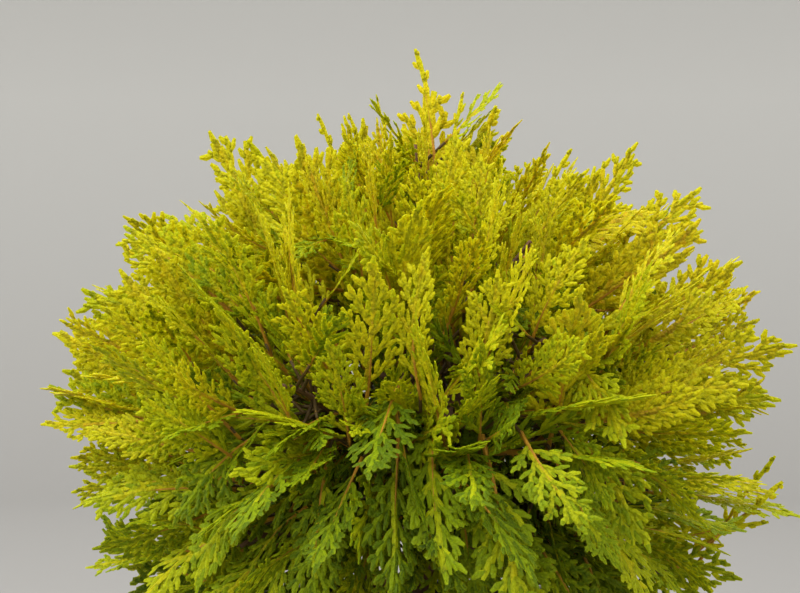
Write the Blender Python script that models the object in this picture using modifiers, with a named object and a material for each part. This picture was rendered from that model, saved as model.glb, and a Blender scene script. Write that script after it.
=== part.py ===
"""Amber glow arborvitae: a young globe conifer with flat golden sprays, in its round nursery pot.

Metres, +Z up. The origin is the centre of the pot's flat underside. The trunk stands on the potting mix,
boughs leave it one above another all round, and each bough carries one mass of sprays. A mass is a stem,
three-sided twigs and toothed blades, one blade for each spray, joined into one solid. The masses share out
the crown: each keeps to the points that are nearer to its own centre than to any other mass's.
"""

import math
import random

import bmesh
import bpy
from mathutils import Matrix, Vector

# Shared sizes
CLEARANCE = 0.0003
WELD = 1e-6
UP = Vector((0, 0, 1))
SEED = 7

# The pot: a tapered container with a lip, a stepped band under it and holes round its foot
POT_HEIGHT = 0.165
POT_RIM_RADIUS = 0.084
POT_NECK_RADIUS = 0.0795
POT_BASE_RADIUS = 0.063
POT_WALL = 0.0018
POT_FLOOR = 0.0025
POT_LIP_DEPTH = 0.012
POT_LIP_ROUND = 0.0015
POT_BAND_DEPTH = 0.034
POT_BAND_STEP = 0.0012
POT_FOOT_CHAMFER = 0.002
POT_FACETS = 32
DRAIN_HOLES = 8
DRAIN_RADIUS = 0.0055
DRAIN_HEIGHT = 0.0045
DRAIN_FACETS = 8

# The potting mix: flat under the trunk, a little lower at the wall
SOIL_LEVEL = 0.151
SOIL_FLAT_RADIUS = 0.022
SOIL_EDGE_DROP = 0.004

# The trunk, from its flat foot on the mix to its tip inside the crown
TRUNK_TOP = 0.290
TRUNK_FOOT_RADIUS = 0.0062
TRUNK_TIP_RADIUS = 0.0022
TRUNK_FLARE = 0.0038
TRUNK_FLARE_HEIGHT = 0.007
TRUNK_LEAN = 0.045
TRUNK_SWAY = 0.0022
TRUNK_STATIONS = 10

# The crown: a globe, a little flatter on top, that comes down past the rim all round
CROWN_CENTRE = Vector((0, 0, 0.245))
CROWN_HALF_WIDTH = 0.134
CROWN_HALF_DEPTH = 0.128
CROWN_UP = 0.118
CROWN_DOWN = 0.128
CROWN_RAGGED = 0.045
CROWN_LOWEST = math.radians(-50)
GROWTH_ORIGIN = Vector((0, 0, 0.214))
RIM_ROOM = 0.004
SKIRT_SLOPE = 0.9

# Tiers of masses: name, how many, elevation and first azimuth in degrees, heights of the bough's foot
MASS_TIERS = (
    ("low", 7, -27, 12, 0.166, 0.190),
    ("middle", 6, 11, 0, 0.198, 0.234),
    ("high", 5, 47, 20, 0.244, 0.274),
)
TIER_STAGGER = math.radians(5)
MASS_CENTRE_SHARE = 0.56
STEM_END_SHARE = 0.70
BOUGH_LENGTH_SHARE = 0.64
BOUGH_FOOT_RADIUS = 0.0024
BOUGH_TIP_RADIUS = 0.0015
BOUGH_COLLAR = 0.003
BOUGH_STATIONS = 5
STEM_FOOT_RADIUS = 0.0014
STEM_TIP_RADIUS = 0.0010
STEM_COLLAR = 0.002
STEM_STATIONS = 3
HANDLE_SHARE = 0.35

# Sprays: the outer ones end on the crown's outline, and smaller ones fork off their twigs
OUTER_SPRAYS = 112
OUTER_LENGTH = 0.062
OUTER_LOBES = 2
SIDE_LENGTH_SHARE = 0.74
SIDE_LOBES = 1
SIDE_FORK = math.radians(40)
SIDE_FORK_PLACE = 0.45
SIDE_STALK = 0.005
SIDE_TWIG_LENGTH = 0.014
SPRAY_KINDS = 4
SPRAY_HALF_WIDTH = 0.36
SPRAY_THICKNESS = 0.021
SPRAY_STALK = 0.02
SPRAY_NOTCH = 0.055
SPRAY_SCATTER = math.radians(30)
ROLL_TRIES = 9
EASE_TRIES = 5
TWIG_RADIUS = 0.0012
TWIG_SINK = 0.15
TWIG_FORWARD = 0.7
CELL_MARGIN = 0.0004
GOLDEN_ANGLE = math.pi * (3 - math.sqrt(5))

# Long shoots that stand out of the outline: azimuth and elevation in degrees, extra length, half width
LONG_SHOOTS = (
    (60, 88, 0.020, 8),
    (-8, -15, 0.014, 9),
    (6, 15, 0.008, 9),
    (186, 2, 0.009, 9),
    (172, 30, 0.007, 9),
    (196, -26, 0.007, 9),
)

# Finishes: base colour and roughness
BLACK_PLASTIC = ((0.012, 0.012, 0.013), 0.45)
POTTING_MIX = ((0.035, 0.022, 0.013), 0.95)
BARK = ((0.16, 0.085, 0.045), 0.85)
FOLIAGE = {
    "low": ((0.20, 0.25, 0.012), 0.55),
    "middle": ((0.36, 0.33, 0.015), 0.55),
    "high": ((0.42, 0.37, 0.016), 0.55),
    "top": ((0.45, 0.39, 0.018), 0.55),
}


def clear_scene():
    """Removes every object that the scene holds."""
    for obj in list(bpy.data.objects):
        bpy.data.objects.remove(obj)


def new_collection(name):
    """A collection linked to the scene."""
    made = bpy.data.collections.new(name)
    bpy.context.scene.collection.children.link(made)
    return made


def finish(name, look):
    """A plain material from a base colour and a roughness."""
    colour, roughness = look
    made = bpy.data.materials.new(name)
    made.use_nodes = True
    shader = made.node_tree.nodes["Principled BSDF"]
    shader.inputs["Base Color"].default_value = (*colour, 1)
    shader.inputs["Roughness"].default_value = roughness
    return made


def add_part(parts, obj, material):
    """Puts an object in the parts' collection with its material."""
    parts.objects.link(obj)
    obj.data.materials.clear()
    obj.data.materials.append(material)
    return obj


def evaluated_mesh(obj):
    """A new mesh of an object with its modifiers applied."""
    bpy.context.view_layer.update()
    return bpy.data.meshes.new_from_object(obj.evaluated_get(bpy.context.evaluated_depsgraph_get()))


def polar(azimuth, elevation):
    """The unit vector at an azimuth and an elevation, both in radians."""
    flat = math.cos(elevation)
    return Vector((flat * math.cos(azimuth), flat * math.sin(azimuth), math.sin(elevation)))


def bezier(start, start_handle, end_handle, end, share):
    """A point on a cubic Bezier curve."""
    rest = 1 - share
    return (
        start * rest**3
        + start_handle * (3 * rest * rest * share)
        + end_handle * (3 * rest * share * share)
        + end * share**3
    )


class Limb:
    """A tapering limb: its points, and its radius at each."""

    def __init__(self, points, radii):
        self.points = points
        self.radii = radii

    def at(self, share):
        """The point at a share of the way along the list of points."""
        place = min(max(share, 0), 0.9999) * (len(self.points) - 1)
        index = int(place)
        return self.points[index].lerp(self.points[index + 1], place - index)

    def at_height(self, height):
        """The point and the radius where a rising limb passes a height."""
        for index in range(len(self.points) - 1):
            start, end = self.points[index : index + 2]
            if height <= end.z:
                share = (height - start.z) / (end.z - start.z)
                first, last = self.radii[index : index + 2]
                return start.lerp(end, share), first + (last - first) * share
        return self.points[-1], self.radii[-1]

    def samples(self, step=0.002):
        """Points along the limb with their radii, at most one step apart."""
        found = []
        for index in range(len(self.points) - 1):
            start, end = self.points[index : index + 2]
            first, last = self.radii[index : index + 2]
            count = max(1, math.ceil((end - start).length / step))
            for part in range(count):
                share = part / count
                found.append((start.lerp(end, share), first + (last - first) * share))
        found.append((self.points[-1], self.radii[-1]))
        return found


def curved_limb(start, start_direction, end, end_direction, collar, stations, radii):
    """A limb that leaves its start straight for its collar's length and then curves to its end."""
    first = start + start_direction * collar
    span = (end - first).length * HANDLE_SHARE
    points = [start]
    sizes = [radii[0]]
    for index in range(stations):
        share = index / (stations - 1)
        handles = (first + start_direction * span, end - end_direction * span)
        points.append(bezier(first, *handles, end, share))
        sizes.append(radii[0] + (radii[1] - radii[0]) * share)
    return Limb(points, sizes)


def trunk_point(height):
    """The trunk's axis at a height: it leans to +X and sways once."""
    rise = height - SOIL_LEVEL
    sway = TRUNK_SWAY * math.sin(2 * math.pi * rise / (TRUNK_TOP - SOIL_LEVEL))
    return Vector((TRUNK_LEAN * rise + sway * 0.4, sway, height))


def trunk_radius(height):
    """An even taper, with a flare that dies away above the foot."""
    rise = height - SOIL_LEVEL
    share = rise / (TRUNK_TOP - SOIL_LEVEL)
    taper = TRUNK_FOOT_RADIUS + (TRUNK_TIP_RADIUS - TRUNK_FOOT_RADIUS) * share
    return taper + TRUNK_FLARE * math.exp(-rise / TRUNK_FLARE_HEIGHT)


def trunk_limb():
    """The trunk, with its stations closest together in the flare and its foot cut level."""
    foot = SOIL_LEVEL + CLEARANCE
    shares = [index / (TRUNK_STATIONS - 1) for index in range(TRUNK_STATIONS)]
    heights = [foot + (TRUNK_TOP - foot) * share**1.7 for share in shares]
    points = [trunk_point(height) for height in heights]
    points[0] = Vector((points[1].x, points[1].y, foot))
    return Limb(points, [trunk_radius(height) for height in heights])


def crown_reach(direction):
    """How far the crown's outline is from its centre along a unit direction, long shoots included."""
    half_height = CROWN_UP if direction.z > 0 else CROWN_DOWN
    shares = (
        direction.x / CROWN_HALF_WIDTH,
        direction.y / CROWN_HALF_DEPTH,
        direction.z / half_height,
    )
    reach = 1 / math.sqrt(sum(share * share for share in shares))
    for azimuth, elevation, extra, half_width in LONG_SHOOTS:
        shoot = polar(math.radians(azimuth), math.radians(elevation))
        off_axis = math.degrees(direction.angle(shoot)) / half_width
        reach += extra * math.exp(-off_axis * off_axis)
    return reach


def crown_point(direction, share):
    """The point at a share of the way from the crown's centre to its outline."""
    return CROWN_CENTRE + direction * crown_reach(direction) * share


def over_rim(point):
    """The point, lifted where a spray that ends there would touch the pot's rim."""
    past_rim = math.hypot(point.x, point.y) - POT_RIM_RADIUS - RIM_ROOM
    lowest = POT_HEIGHT + RIM_ROOM - SKIRT_SLOPE * max(past_rim, 0)
    return Vector((point.x, point.y, max(point.z, lowest)))


class Mass:
    """One mass of sprays: its centre, its bough, and the stem that its twigs grow from."""

    def __init__(self, name, tier, direction, trunk, foot_height=None):
        self.name = name
        self.tier = tier
        self.centre = crown_point(direction, MASS_CENTRE_SHARE)
        stem_end = crown_point(direction, STEM_END_SHARE)
        self.bough = self.grow_bough(direction, trunk, foot_height, stem_end) if foot_height else None
        carrier = (self.bough or trunk).points[-2:]
        along = (carrier[1] - carrier[0]).normalized()
        foot = carrier[1] + along * CLEARANCE
        sizes = (STEM_FOOT_RADIUS, STEM_TIP_RADIUS)
        self.stem = curved_limb(foot, along, stem_end, direction, STEM_COLLAR, STEM_STATIONS, sizes)

    def grow_bough(self, direction, trunk, foot_height, stem_end):
        """The bough from the trunk's side, clear of it below and above, to where it enters the mass."""
        outward = Vector((direction.x, direction.y, 0)).normalized()
        below, room = trunk.at_height(foot_height - BOUGH_FOOT_RADIUS)
        above, _ = trunk.at_height(foot_height + BOUGH_FOOT_RADIUS)
        lean = abs(above.x - below.x) / 2
        foot = below.lerp(above, 0.5) + outward * (room + lean + CLEARANCE)
        end = foot.lerp(self.centre, BOUGH_LENGTH_SHARE)
        sizes = (BOUGH_FOOT_RADIUS, BOUGH_TIP_RADIUS)
        end_direction = (stem_end - end).normalized()
        return curved_limb(foot, outward, end, end_direction, BOUGH_COLLAR, BOUGH_STATIONS, sizes)


def make_masses(trunk):
    """The masses tier by tier, each on its own bough, and the top one on the trunk's tip."""
    masses = []
    for tier, count, elevation, first_azimuth, lowest, highest in MASS_TIERS:
        for index in range(count):
            azimuth = math.radians(first_azimuth + 360 * index / count)
            stagger = TIER_STAGGER if index % 2 else -TIER_STAGGER
            direction = polar(azimuth, math.radians(elevation) + stagger)
            # Neighbouring boughs leave the trunk well apart, one above the other
            order = index * 5 % count if count == 6 else index * 3 % count
            foot_height = lowest + (highest - lowest) * order / (count - 1)
            masses.append(Mass(f"{tier}_{index + 1}", tier, direction, trunk, foot_height))
    masses.append(Mass("top", "top", UP.copy(), trunk))
    return masses


def in_cell(point, mass, masses, margin):
    """True if the point is nearer to this mass's centre than to any other's, by a margin."""
    for other in masses:
        if other is mass:
            continue
        apart = (other.centre - mass.centre).normalized()
        if (point - (other.centre + mass.centre) / 2).dot(apart) > -margin:
            return False
    return True


def clear_of_pot(point, margin):
    """True if the point is above the rim's plane or outside the rim, by a margin."""
    return point.z > POT_HEIGHT + margin or math.hypot(point.x, point.y) > POT_RIM_RADIUS + margin


class Spray:
    """A blade in its place, on the twig that carries it."""

    def __init__(self, twig_start, root, direction, roll, length, kind):
        level = UP.cross(direction)
        level = level.normalized() if level.length > 1e-4 else Vector((0, 1, 0))
        self.twig_start = twig_start
        self.root = root
        self.direction = direction
        self.normal = (Matrix.Rotation(roll, 3, direction) @ level).normalized()
        self.across = self.normal.cross(direction)
        self.length = length
        self.kind = kind

    def at(self, along, across=0):
        """A point of the blade's plane, by shares of its length."""
        return self.root + (self.direction * along + self.across * across) * self.length

    def matrix(self):
        """Takes the blade's own X to its direction, its Z to its normal and 1 to its length."""
        turn = Matrix((self.direction, self.across, self.normal)).transposed()
        return Matrix.Translation(self.root) @ (turn * self.length).to_4x4()

    def twig_end(self):
        """Where the twig ends, well inside the blade."""
        return self.at(TWIG_SINK)


def spray_outline(lobes, rule):
    """A spray's outline in shares of its length: a stalk, lobes on both sides and one at the end."""
    sides = []
    for side, shift in ((1, 0.02), (-1, -0.04)):
        corners = [(0, SPRAY_STALK)]
        for lobe in range(lobes):
            notch = 0.18 + 0.60 * lobe / lobes + shift
            tip = 0.50 + 0.36 * lobe / max(lobes - 1, 1) + shift + 0.10 * (lobes == 1)
            reach = SPRAY_HALF_WIDTH * (1 - 0.22 * lobe) * rule.uniform(0.86, 1)
            corners += [(notch, SPRAY_NOTCH), (tip, reach)]
        corners.append((0.76 + shift, SPRAY_NOTCH))
        sides.append([(along, side * across) for along, across in corners])
    left, right = sides
    return [*left, (1, 0), *reversed(right)]


def blade_fits(spray, outlines, mass, masses, obstacles):
    """True if the blade keeps to its mass's cell and clear of the pot and of every limb."""
    margin = spray.length * SPRAY_THICKNESS / 2 + CELL_MARGIN
    for along, across in outlines[spray.kind]:
        if not in_cell(spray.at(along, across), mass, masses, margin):
            return False
    for step in range(9):
        for side in (-1, -0.5, 0, 0.5, 1):
            if not clear_of_pot(spray.at(step / 8, side * SPRAY_HALF_WIDTH), margin):
                return False
    half_width = spray.length * SPRAY_HALF_WIDTH
    for point, radius in obstacles:
        offset = point - spray.root
        room = radius + margin
        beside = abs(offset.dot(spray.normal)) > room or abs(offset.dot(spray.across)) > half_width + room
        if not beside and -room < offset.dot(spray.direction) < spray.length + room:
            return False
    return True


def twig_fits(spray, mass, masses, obstacles):
    """True if the twig keeps to its cell and clear of the pot and of every limb."""
    start = spray.twig_start
    end = spray.twig_end()
    along = end - start
    for point in (start, end):
        if not in_cell(point, mass, masses, TWIG_RADIUS + CELL_MARGIN):
            return False
    if not all(clear_of_pot(start.lerp(end, step / 4), TWIG_RADIUS) for step in range(5)):
        return False
    for point, radius in obstacles:
        share = (point - start).dot(along) / along.length_squared
        nearest = start + along * min(max(share, 0), 1)
        if (point - nearest).length < radius + TWIG_RADIUS + CELL_MARGIN:
            return False
    return True


def pierces(start, end, spray):
    """True if the stretch from start to end passes through a blade."""
    before = (start - spray.root).dot(spray.normal)
    after = (end - spray.root).dot(spray.normal)
    if before * after > 0 or before == after:
        return False
    place = start.lerp(end, before / (before - after)) - spray.root
    along = place.dot(spray.direction) / spray.length
    across = place.dot(spray.across) / spray.length
    return -0.05 < along < 1.05 and abs(across) < SPRAY_HALF_WIDTH


def crosses(spray, grown):
    """True if the blade or its twig would pass through another blade or twig of the mass."""
    for other in grown:
        for one, two in ((spray, other), (other, spray)):
            if pierces(one.twig_start, one.root, two):
                return True
            for side in (-0.7, 0, 0.7):
                across = side * SPRAY_HALF_WIDTH
                if pierces(one.at(0.1, across), one.at(0.98, across), two):
                    return True
    return False


def fitting_spray(candidates, mass, masses, grown, outlines, obstacles):
    """The first of the candidate sprays that fits its mass, or None."""
    for spray in candidates:
        if crosses(spray, grown):
            continue
        if not twig_fits(spray, mass, masses, obstacles):
            continue
        if blade_fits(spray, outlines, mass, masses, obstacles):
            return spray
    return None


def twig_fork(stem, root):
    """The point of the stem from which a twig grows forward to a spray's root."""
    nearest = min((step / 12 for step in range(13)), key=lambda share: (stem.at(share) - root).length)
    gap = (stem.at(nearest) - root).length
    length = (stem.points[-1] - stem.points[0]).length
    return stem.at(min(max(nearest - TWIG_FORWARD * gap / length, 0.08), 0.94))


def preferred_roll(outward, rule):
    """Upright blades above, and blades that lie back to face outwards below, all scattered a little."""
    low = min(max((0.10 - outward.z) / 0.55, 0), 1)
    return math.radians(90) * low + rule.gauss(0, 1) * SPRAY_SCATTER


def outer_candidates(tip, outward, mass, rule):
    """Blades that end at a tip: rolls in turn either way, then nearer the stem and shorter."""
    kind = rule.randrange(SPRAY_KINDS)
    length = OUTER_LENGTH * rule.uniform(0.9, 1.1)
    roll = preferred_roll(outward, rule)
    aim = (tip - GROWTH_ORIGIN).normalized()
    from_stem = (tip - mass.stem.at(0.5)).normalized()
    for ease in range(EASE_TRIES):
        share = ease / EASE_TRIES
        direction = aim.lerp(from_stem, 0.2 + 0.6 * share).normalized()
        size = length * (1 - 0.4 * share)
        root = tip - direction * size
        for attempt in range(ROLL_TRIES):
            turn = math.pi / ROLL_TRIES * (attempt // 2 + attempt % 2) * (1 if attempt % 2 else -1)
            yield Spray(twig_fork(mass.stem, root), root, direction, roll + turn, size, kind)


def side_candidates(spray, rule):
    """Smaller blades that fork off a spray's twig to any side."""
    twig = spray.twig_end() - spray.twig_start
    along = twig.normalized()
    fork = spray.twig_start + twig * SIDE_FORK_PLACE
    size = spray.length * SIDE_LENGTH_SHARE
    kind = SPRAY_KINDS + rule.randrange(SPRAY_KINDS)
    for _ in range(ROLL_TRIES):
        sideways = Matrix.Rotation(rule.uniform(0, 2 * math.pi), 3, along) @ along.orthogonal().normalized()
        direction = along * math.cos(SIDE_FORK) + sideways * math.sin(SIDE_FORK)
        yield Spray(fork, fork + direction * SIDE_STALK, direction, rule.uniform(0, math.pi), size, kind)


def spray_tips(rule):
    """Directions and tips of the outer sprays: the long shoots, then an even spread by the golden angle."""
    for azimuth, elevation, _, _ in LONG_SHOOTS:
        outward = polar(math.radians(azimuth), math.radians(elevation))
        yield outward, crown_point(outward, 1)
    for index in range(OUTER_SPRAYS):
        height = 1 - (index + 0.5) / OUTER_SPRAYS * (1 - math.sin(CROWN_LOWEST))
        outward = polar(index * GOLDEN_ANGLE, math.asin(height))
        yield outward, over_rim(crown_point(outward, 1 + rule.uniform(-1, 0.5) * CROWN_RAGGED))


def grow_sprays(masses, outlines, obstacles):
    """The sprays of every mass by the mass's name: the outer ones, then those that fork off their twigs."""
    rule = random.Random(SEED)
    grown = {mass.name: [] for mass in masses}
    for outward, tip in spray_tips(rule):
        inside = tip.lerp(CROWN_CENTRE, 0.25)
        for mass in sorted(masses, key=lambda one: (one.centre - inside).length)[:2]:
            candidates = outer_candidates(tip, outward, mass, rule)
            spray = fitting_spray(candidates, mass, masses, grown[mass.name], outlines, obstacles)
            if spray:
                grown[mass.name].append(spray)
                break
    for mass in masses:
        sprays = grown[mass.name]
        for parent in list(sprays):
            if (parent.twig_end() - parent.twig_start).length > SIDE_TWIG_LENGTH:
                candidates = side_candidates(parent, rule)
                spray = fitting_spray(candidates, mass, masses, sprays, outlines, obstacles)
                sprays += [spray] if spray else []
    return grown


def welded(mesh):
    """The mesh with its doubled corners merged."""
    work = bmesh.new()
    work.from_mesh(mesh)
    bmesh.ops.remove_doubles(work, verts=work.verts, dist=WELD)
    work.to_mesh(mesh)
    work.free()
    return mesh


def mesh_of_curve(name, curve):
    """The closed mesh that a curve makes, its caps welded on. The curve's object is removed."""
    holder = bpy.data.objects.new(name, curve)
    bpy.context.scene.collection.objects.link(holder)
    mesh = welded(evaluated_mesh(holder))
    bpy.data.objects.remove(holder)
    return mesh


def blade_mesh(name, outline):
    """A flat plate one unit long in the shape of an outline."""
    curve = bpy.data.curves.new(name, "CURVE")
    curve.dimensions = "2D"
    curve.fill_mode = "BOTH"
    curve.extrude = SPRAY_THICKNESS / 2
    spline = curve.splines.new("POLY")
    spline.points.add(len(outline) - 1)
    for point, (along, across) in zip(spline.points, outline):
        point.co = (along, across, 0, 1)
    spline.use_cyclic_u = True
    return mesh_of_curve(name, curve)


def limb_curve(name, limb, bevel_resolution):
    """A curve with the limb's radius at each of its points and filled ends."""
    curve = bpy.data.curves.new(name, "CURVE")
    curve.dimensions = "3D"
    curve.bevel_depth = 1
    curve.bevel_resolution = bevel_resolution
    curve.use_fill_caps = True
    spline = curve.splines.new("POLY")
    spline.points.add(len(limb.points) - 1)
    for point, place, radius in zip(spline.points, limb.points, limb.radii):
        point.co = (*place, 1)
        point.radius = radius
    return curve


def turned_object(name, profile, facets):
    """An object turned round Z from a profile that begins and ends on the axis, outer side downwards."""
    mesh = bpy.data.meshes.new(name)
    edges = [(index, index + 1) for index in range(len(profile) - 1)]
    mesh.from_pydata([(radius, 0, height) for radius, height in profile], edges, [])
    obj = bpy.data.objects.new(name, mesh)
    screw = obj.modifiers.new("Turn", "SCREW")
    screw.steps = facets
    screw.render_steps = facets
    screw.use_merge_vertices = True
    screw.merge_threshold = 1e-5
    screw.use_smooth_shade = False
    return obj


def pot_wall_radius(height):
    """The outside of the pot's wall at a height, between its foot and its neck."""
    share = (height - POT_FOOT_CHAMFER) / (POT_HEIGHT - POT_FOOT_CHAMFER)
    return POT_BASE_RADIUS + (POT_NECK_RADIUS - POT_BASE_RADIUS) * share


def pot_inner_radius(height):
    """The inside of the pot's wall at a height."""
    return pot_wall_radius(height) - POT_WALL


def drain_drills(cutters):
    """The cutter that opens the holes round the pot's foot."""
    work = bmesh.new()
    for index in range(DRAIN_HOLES):
        turn = Matrix.Rotation(2 * math.pi * (index + 0.5) / DRAIN_HOLES, 4, "Z")
        outward = Matrix.Rotation(math.pi / 2, 4, "Y")
        bmesh.ops.create_cone(
            work,
            cap_ends=True,
            segments=DRAIN_FACETS,
            radius1=DRAIN_RADIUS,
            radius2=DRAIN_RADIUS,
            depth=DRAIN_RADIUS * 3,
            matrix=turn @ Matrix.Translation((POT_BASE_RADIUS, 0, DRAIN_HEIGHT)) @ outward,
        )
    mesh = bpy.data.meshes.new("drain_drills")
    work.to_mesh(mesh)
    work.free()
    drills = bpy.data.objects.new("drain_drills", mesh)
    drills.hide_render = True
    drills.display_type = "WIRE"
    cutters.objects.link(drills)
    return drills


def make_pot(parts, cutters, material):
    """The pot: floor, tapered wall, lip, stepped band, and holes round the foot."""
    lip_foot = POT_HEIGHT - POT_LIP_DEPTH
    band_foot = POT_HEIGHT - POT_BAND_DEPTH
    lip_inside = pot_inner_radius(POT_HEIGHT - POT_LIP_ROUND)
    profile = [
        (0, POT_FLOOR),
        (pot_inner_radius(POT_FLOOR), POT_FLOOR),
        (lip_inside, POT_HEIGHT - POT_LIP_ROUND),
        (lip_inside + POT_LIP_ROUND, POT_HEIGHT),
        (POT_RIM_RADIUS - POT_LIP_ROUND, POT_HEIGHT),
        (POT_RIM_RADIUS, POT_HEIGHT - POT_LIP_ROUND),
        (POT_RIM_RADIUS, lip_foot),
        (POT_NECK_RADIUS + POT_BAND_STEP, lip_foot),
        (pot_wall_radius(band_foot) + POT_BAND_STEP, band_foot + POT_BAND_STEP),
        (pot_wall_radius(band_foot), band_foot - POT_BAND_STEP),
        (POT_BASE_RADIUS, POT_FOOT_CHAMFER),
        (POT_BASE_RADIUS - POT_FOOT_CHAMFER, 0),
        (0, 0),
    ]
    pot = add_part(parts, turned_object("pot", profile, POT_FACETS), material)
    drain = pot.modifiers.new("Drain holes", "BOOLEAN")
    drain.operation = "DIFFERENCE"
    drain.object = drain_drills(cutters)


def make_soil(parts, material):
    """The potting mix, clear of the pot all round."""
    bottom = POT_FLOOR + CLEARANCE
    edge_level = SOIL_LEVEL - SOIL_EDGE_DROP
    edge_radius = pot_inner_radius(edge_level) - CLEARANCE
    profile = [
        (0, SOIL_LEVEL),
        (SOIL_FLAT_RADIUS, SOIL_LEVEL),
        (edge_radius * 0.8, edge_level),
        (edge_radius, edge_level),
        (pot_inner_radius(bottom) - CLEARANCE, bottom),
        (0, bottom),
    ]
    add_part(parts, turned_object("potting_mix", profile, POT_FACETS), material)


def add_twig(pieces, spray):
    """A three-sided twig from its fork into its blade."""
    start = spray.twig_start
    end = spray.twig_end()
    turn = (end - start).to_track_quat("Z", "Y").to_matrix().to_4x4()
    work = bmesh.new()
    bmesh.ops.create_cone(
        work,
        cap_ends=True,
        segments=3,
        radius1=TWIG_RADIUS,
        radius2=TWIG_RADIUS * 0.85,
        depth=(end - start).length,
        matrix=Matrix.Translation((start + end) / 2) @ turn,
    )
    mesh = bpy.data.meshes.new("twig")
    work.to_mesh(mesh)
    work.free()
    pieces.objects.link(bpy.data.objects.new("twig", mesh))


def make_mass(parts, mass, sprays, blades, material):
    """One mass: its stem, joined with its twigs and blades by one Boolean union."""
    name = f"foliage_{mass.name}"
    stem = bpy.data.objects.new(name, mesh_of_curve(name, limb_curve(name, mass.stem, 0)))
    parts.objects.link(stem)
    pieces = new_collection(f"{name}_pieces")
    for spray in sprays:
        add_twig(pieces, spray)
        blade = bpy.data.objects.new("blade", blades[spray.kind])
        blade.matrix_world = spray.matrix()
        pieces.objects.link(blade)
    union = stem.modifiers.new("Join", "BOOLEAN")
    union.operation = "UNION"
    union.operand_type = "COLLECTION"
    union.collection = pieces
    joined = welded(evaluated_mesh(stem))
    stem.modifiers.clear()
    stem.data = joined
    joined.materials.clear()
    joined.materials.append(material)
    for piece in list(pieces.objects):
        bpy.data.objects.remove(piece)
    bpy.data.collections.remove(pieces)


def make_limbs(parts, trunk, masses, bark):
    """The trunk and the boughs as parts. Returns their samples, which the sprays keep clear of."""
    add_part(parts, bpy.data.objects.new("trunk", limb_curve("trunk", trunk, 2)), bark)
    samples = trunk.samples()
    for mass in masses:
        if mass.bough:
            name = f"bough_{mass.name}"
            add_part(parts, bpy.data.objects.new(name, limb_curve(name, mass.bough, 1)), bark)
            samples += mass.bough.samples()
    return samples


def make_foliage(parts, masses, obstacles):
    """The masses of sprays, in a tint for each tier."""
    rule = random.Random(SEED)
    outlines = [spray_outline(OUTER_LOBES, rule) for _ in range(SPRAY_KINDS)]
    outlines += [spray_outline(SIDE_LOBES, rule) for _ in range(SPRAY_KINDS)]
    blades = [blade_mesh("blade", outline) for outline in outlines]
    tints = {tier: finish(f"foliage_{tier}", look) for tier, look in FOLIAGE.items()}
    grown = grow_sprays(masses, outlines, obstacles)
    for mass in masses:
        make_mass(parts, mass, grown[mass.name], blades, tints[mass.tier])


def main():
    clear_scene()
    parts = new_collection("amber_glow_arborvitae")
    cutters = new_collection("cutters")
    make_pot(parts, cutters, finish("pot_plastic", BLACK_PLASTIC))
    make_soil(parts, finish("potting_mix", POTTING_MIX))
    trunk = trunk_limb()
    masses = make_masses(trunk)
    obstacles = make_limbs(parts, trunk, masses, finish("bark", BARK))
    make_foliage(parts, masses, obstacles)


main()
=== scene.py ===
"""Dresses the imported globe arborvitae: bark, twigs, flat sprays of scale leaves, pot, potting mix and studio.

Metres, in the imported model's frame: +Z up, the centre of the pot's underside at the origin.
The crown grows by the rule of the solids. Boughs leave the trunk and end in stems, and twigs fork forward
off the stems to sprays whose tips lie on the crown's outline. Here the sprays are finer and stand in layers:
the outer ones, two layers inside them, side ones that fork off their twigs, and short ones on the stems.
"""

import math

import bpy
import numpy as np
from bpy.props import FloatProperty, FloatVectorProperty, IntProperty, PointerProperty
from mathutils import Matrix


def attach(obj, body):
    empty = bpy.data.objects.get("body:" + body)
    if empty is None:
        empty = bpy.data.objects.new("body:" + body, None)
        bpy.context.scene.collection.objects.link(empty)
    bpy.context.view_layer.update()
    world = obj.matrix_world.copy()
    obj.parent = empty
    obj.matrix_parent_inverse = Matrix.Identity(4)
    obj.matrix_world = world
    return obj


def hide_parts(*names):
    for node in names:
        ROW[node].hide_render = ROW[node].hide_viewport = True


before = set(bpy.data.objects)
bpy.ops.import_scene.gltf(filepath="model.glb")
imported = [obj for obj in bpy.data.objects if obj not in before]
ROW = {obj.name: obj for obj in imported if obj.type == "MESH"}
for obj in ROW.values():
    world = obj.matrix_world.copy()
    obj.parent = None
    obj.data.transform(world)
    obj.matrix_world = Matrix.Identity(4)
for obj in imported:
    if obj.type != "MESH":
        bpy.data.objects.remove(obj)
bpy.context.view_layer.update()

bl_info = {
    "name": "Potted globe arborvitae",
    "version": (1, 0, 0),
    "blender": (4, 5, 0),
    "location": "3D View > Sidebar > Arborvitae",
    "description": "Bark, twigs, sprays of scale leaves, pot, potting mix and a plain studio",
    "category": "Add Mesh",
}

UP = np.array([0.0, 0.0, 1.0])
GOLDEN_ANGLE = math.pi * (3 - math.sqrt(5))
STRAIGHT = "straight"

# Tiers of masses: name, how many, elevation and first azimuth in degrees, heights of the bough's foot
MASS_TIERS = (
    ("low", 7, -27, 12, 0.166, 0.190),
    ("middle", 6, 11, 0, 0.198, 0.234),
    ("high", 5, 47, 20, 0.244, 0.274),
)
TIER_STAGGER = math.radians(5)
MASS_CENTRE_SHARE = 0.56
STEM_END_SHARE = 0.70
BOUGH_LENGTH_SHARE = 0.64
BOUGH_COLLAR = 0.003
STEM_COLLAR = 0.002
HANDLE_SHARE = 0.35

# Long shoots that stand out of the outline: azimuth and elevation in degrees, extra length, half width
LONG_SHOOTS = (
    (60, 88, 0.020, 8),
    (-8, -15, 0.014, 9),
    (6, 15, 0.008, 9),
    (186, 2, 0.009, 9),
    (172, 30, 0.007, 9),
    (196, -26, 0.007, 9),
)

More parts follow.
